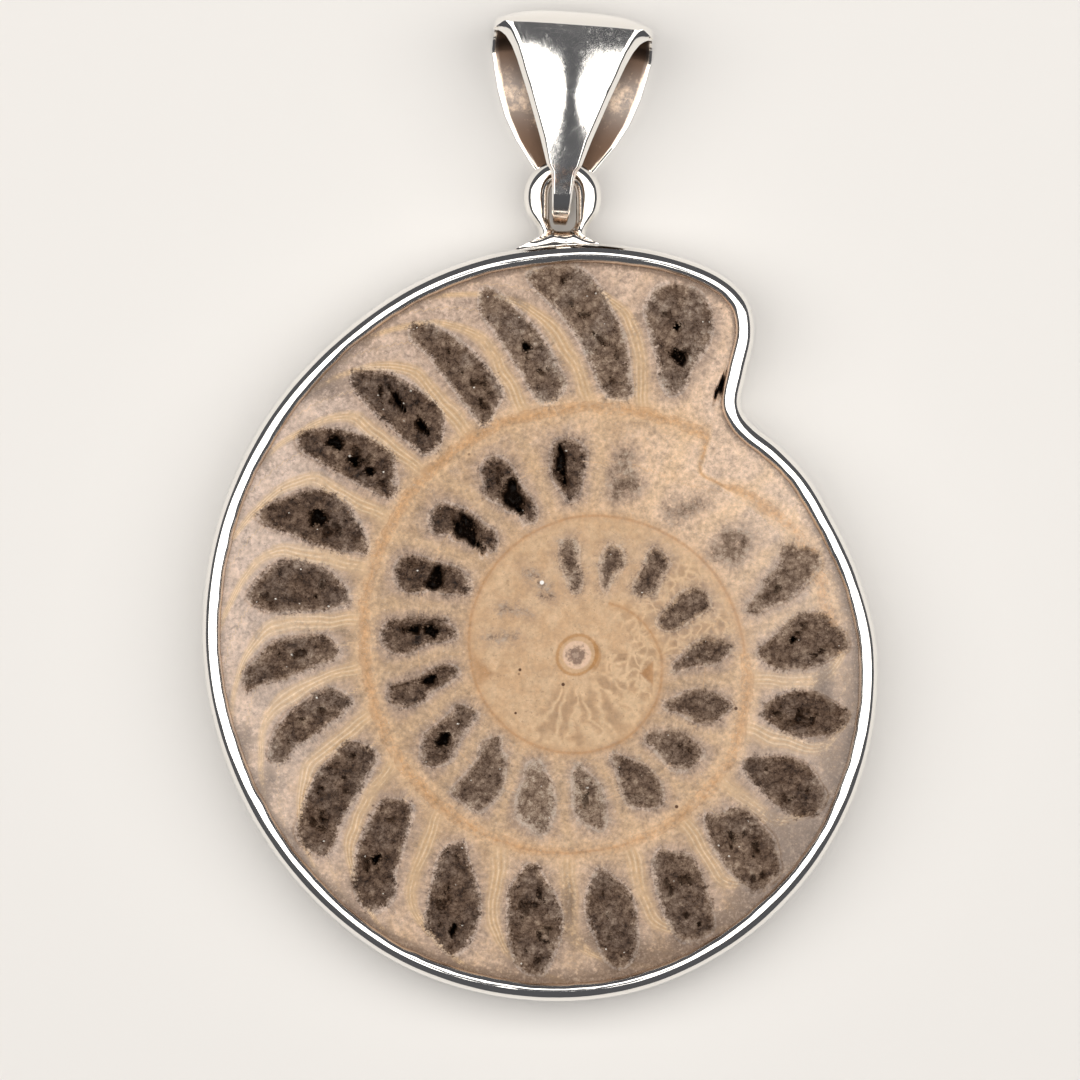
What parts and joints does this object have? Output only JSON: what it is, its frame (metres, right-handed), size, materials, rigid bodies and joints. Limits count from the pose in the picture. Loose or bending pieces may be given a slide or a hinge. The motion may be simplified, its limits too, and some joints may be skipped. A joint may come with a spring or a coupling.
{
  "type": "ammonite fossil pendant",
  "caption": "Polished ammonite slice with crystal filled chambers, framed in a silver bezel with a hanging loop and a swinging tapered bail.",
  "frame": {"origin": "middle of the footprint, on the surface that the pendant lies on", "axes": "+X across the face, +Y from the bezel towards the bail, +Z out of the polished face"},
  "size_m": [0.0447, 0.0655, 0.0065],
  "materials": {
    "fossil": "polished cream and tan shell with dark crystal filled chambers",
    "silver": "polished sterling silver",
    "bail_silver": "polished sterling silver, tarnished brown inside"
  },
  "bodies": {
    "pendant": {"bezel": "silver", "ammonite_slice": "fossil", "hanging_loop": "silver"},
    "bail": {"bail": "bail_silver"}
  },
  "joints": [
    {"name": "bail_swing", "type": "hinge", "parent": "pendant", "child": "bail", "pos_m": [0.00153, 0.0211, 0.0025], "axis": [0.9976, -0.0698, 0], "range_deg": [0, 75]}
  ]
}
